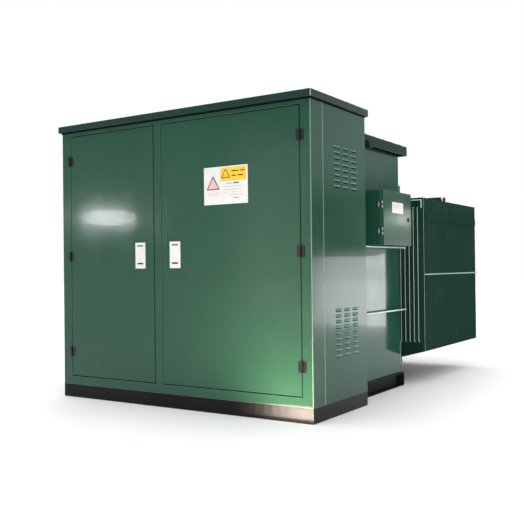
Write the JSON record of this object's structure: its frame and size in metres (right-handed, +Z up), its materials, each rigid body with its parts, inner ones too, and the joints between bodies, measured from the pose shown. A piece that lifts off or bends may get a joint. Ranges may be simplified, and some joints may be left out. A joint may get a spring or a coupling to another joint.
{
  "type": "pad-mounted transformer",
  "caption": "Oil-filled pad-mounted transformer: a two-door cable cabinet with louvred sides, a tank with a side control box behind it, and banks of panel radiators.",
  "frame": {"origin": "on the ground, at the middle of the whole plan", "axes": "+X right along the doors as seen from in front of them, +Y from the doors to the radiators, +Z up"},
  "size_m": [2.164, 3.122, 2.005],
  "materials": {
    "green_paint": "gloss",
    "black_paint": "gloss",
    "roof_paint": "gloss",
    "rubber": "matt",
    "hinge_black": "satin",
    "zinc": "satin",
    "chrome": "polished",
    "white_enamel": "gloss",
    "core_steel": "matt",
    "copper_coil": "enamelled",
    "brass": "satin",
    "copper_bar": "satin",
    "red_paint": "gloss",
    "epoxy": "gloss",
    "porcelain": "glazed",
    "grey_plastic": "satin",
    "black_plastic": "satin",
    "fibreglass": "satin",
    "sign": "enamelled",
    "label": "satin"
  },
  "bodies": {
    "housing": {"plinth_frame": "black_paint", "front_frame": "green_paint", "side_panel_left": "green_paint", "side_panel_right": "green_paint", "roof": "roof_paint", "back_flange": "green_paint", "compartment_barrier": "green_paint", "floor_plates": "green_paint", "cable_glands": "rubber", "door_gaskets": "rubber", "frame_hinges": "hinge_black", "tank_shell": "green_paint", "tank_stiffeners": "green_paint", "tank_lid": "green_paint", "lid_gasket": "rubber", "lid_bolts": "zinc", "tank_skid": "black_paint", "lifting_lugs": "green_paint", "radiator_bank_1": "green_paint", "radiator_bank_2": "green_paint", "radiator_bank_3": "green_paint", "radiator_bank_4": "green_paint", "radiator_tie_bars": "green_paint", "bleed_plugs": "zinc", "control_box": "green_paint", "control_box_hinges": "chrome", "control_gear": "grey_plastic", "core": "core_steel", "windings": "copper_coil", "tank_switches": "grey_plastic", "hv_bushings": "epoxy", "lv_bushings": "porcelain", "fuse_wells": "black_plastic", "gauges": "black_plastic", "drain_valve": "brass", "ground_bar": "copper_bar"},
    "left_door": {"door_left": "green_paint", "left_door_hinges": "hinge_black", "left_lock_plate": "white_enamel"},
    "left_handle": {"left_handle": "white_enamel"},
    "left_upper_rod": {"left_upper_rod": "zinc"},
    "left_lower_rod": {"left_lower_rod": "zinc"},
    "right_door": {"door_right": "green_paint", "right_door_hinges": "hinge_black", "right_lock_plate": "white_enamel", "sign_plate": "sign"},
    "right_handle": {"right_handle": "white_enamel"},
    "right_upper_rod": {"right_upper_rod": "zinc"},
    "right_lower_rod": {"right_lower_rod": "zinc"},
    "control_door": {"control_box_door": "green_paint", "control_label": "label"},
    "control_lock": {"control_box_lock": "chrome"},
    "load_break_handle": {"load_break_handle": "zinc"},
    "tap_changer_handle": {"tap_changer_handle": "zinc"},
    "fuse_holder_a": {"fuse_holder_a": "fibreglass"},
    "fuse_holder_b": {"fuse_holder_b": "fibreglass"},
    "fuse_holder_c": {"fuse_holder_c": "fibreglass"},
    "thermometer_pointer": {"thermometer_pointer": "red_paint"},
    "drain_handwheel": {"drain_handwheel": "red_paint"},
    "relief_ring": {"relief_ring": "brass"}
  },
  "joints": [
    {"name": "left_door_swing", "type": "hinge", "parent": "housing", "child": "left_door", "pos_m": [-0.972, -1.544, 1.031], "axis": [0, 0, -1], "range_deg": [0, 120]},
    {"name": "left_handle_lift", "type": "hinge", "parent": "left_door", "child": "left_handle", "pos_m": [-0.29, -1.54, 1.086], "axis": [-1, 0, 0], "range_deg": [0, 40], "stiffness_Nm_per_rad": 0.8, "springref_deg": -14.32},
    {"name": "left_upper_rod_slide", "type": "slide", "parent": "left_door", "child": "left_upper_rod", "axis": [0, 0, -1], "range_m": [0, 0.018]},
    {"name": "left_lower_rod_slide", "type": "slide", "parent": "left_door", "child": "left_lower_rod", "axis": [0, 0, 1], "range_m": [0, 0.018]},
    {"name": "right_door_swing", "type": "hinge", "parent": "housing", "child": "right_door", "pos_m": [0.985, -1.544, 1.031], "axis": [0, 0, 1], "range_deg": [0, 120]},
    {"name": "right_handle_lift", "type": "hinge", "parent": "right_door", "child": "right_handle", "pos_m": [0.017, -1.54, 1.086], "axis": [-1, 0, 0], "range_deg": [0, 40], "stiffness_Nm_per_rad": 0.8, "springref_deg": -14.32},
    {"name": "right_upper_rod_slide", "type": "slide", "parent": "right_door", "child": "right_upper_rod", "axis": [0, 0, -1], "range_m": [0, 0.018]},
    {"name": "right_lower_rod_slide", "type": "slide", "parent": "right_door", "child": "right_lower_rod", "axis": [0, 0, 1], "range_m": [0, 0.018]},
    {"name": "control_door_swing", "type": "hinge", "parent": "housing", "child": "control_door", "pos_m": [1.051, -0.522, 1.283], "axis": [0, 0, -1], "range_deg": [0, 110]},
    {"name": "control_lock_turn", "type": "hinge", "parent": "control_door", "child": "control_lock", "pos_m": [1.07, -0.058, 1.283], "axis": [1, 0, 0], "range_deg": [0, 90]},
    {"name": "load_break_turn", "type": "hinge", "parent": "housing", "child": "load_break_handle", "pos_m": [-0.25, -0.818, 1.48], "axis": [0, 1, 0], "range_deg": [0, 90]},
    {"name": "tap_changer_turn", "type": "hinge", "parent": "housing", "child": "tap_changer_handle", "pos_m": [-0.25, -0.818, 1.18], "axis": [0, 1, 0], "range_deg": [0, 144]},
    {"name": "fuse_a_pull", "type": "slide", "parent": "housing", "child": "fuse_holder_a", "axis": [0, -1, 0], "range_m": [0, 0.26]},
    {"name": "fuse_b_pull", "type": "slide", "parent": "housing", "child": "fuse_holder_b", "axis": [0, -1, 0], "range_m": [0, 0.26]},
    {"name": "fuse_c_pull", "type": "slide", "parent": "housing", "child": "fuse_holder_c", "axis": [0, -1, 0], "range_m": [0, 0.26]},
    {"name": "thermometer_turn", "type": "hinge", "parent": "housing", "child": "thermometer_pointer", "pos_m": [-0.78, -0.831, 1.56], "axis": [0, 1, 0], "range_deg": [-120, 120]},
    {"name": "drain_wheel_turn", "type": "hinge", "parent": "housing", "child": "drain_handwheel", "pos_m": [-0.78, -0.938, 0.27], "axis": [0, 1, 0], "range_deg": [0, 720]},
    {"name": "relief_ring_pull", "type": "slide", "parent": "housing", "child": "relief_ring", "axis": [0, -1, 0], "range_m": [0, 0.012], "stiffness_N_per_m": 1500, "springref_m": -0.004}
  ],
  "couplings": [
    {"joint": "left_upper_rod_slide", "follows": "left_handle_lift", "m_per_rad": 0.025757},
    {"joint": "left_lower_rod_slide", "follows": "left_handle_lift", "m_per_rad": 0.025757},
    {"joint": "right_upper_rod_slide", "follows": "right_handle_lift", "m_per_rad": 0.025757},
    {"joint": "right_lower_rod_slide", "follows": "right_handle_lift", "m_per_rad": 0.025757}
  ]
}
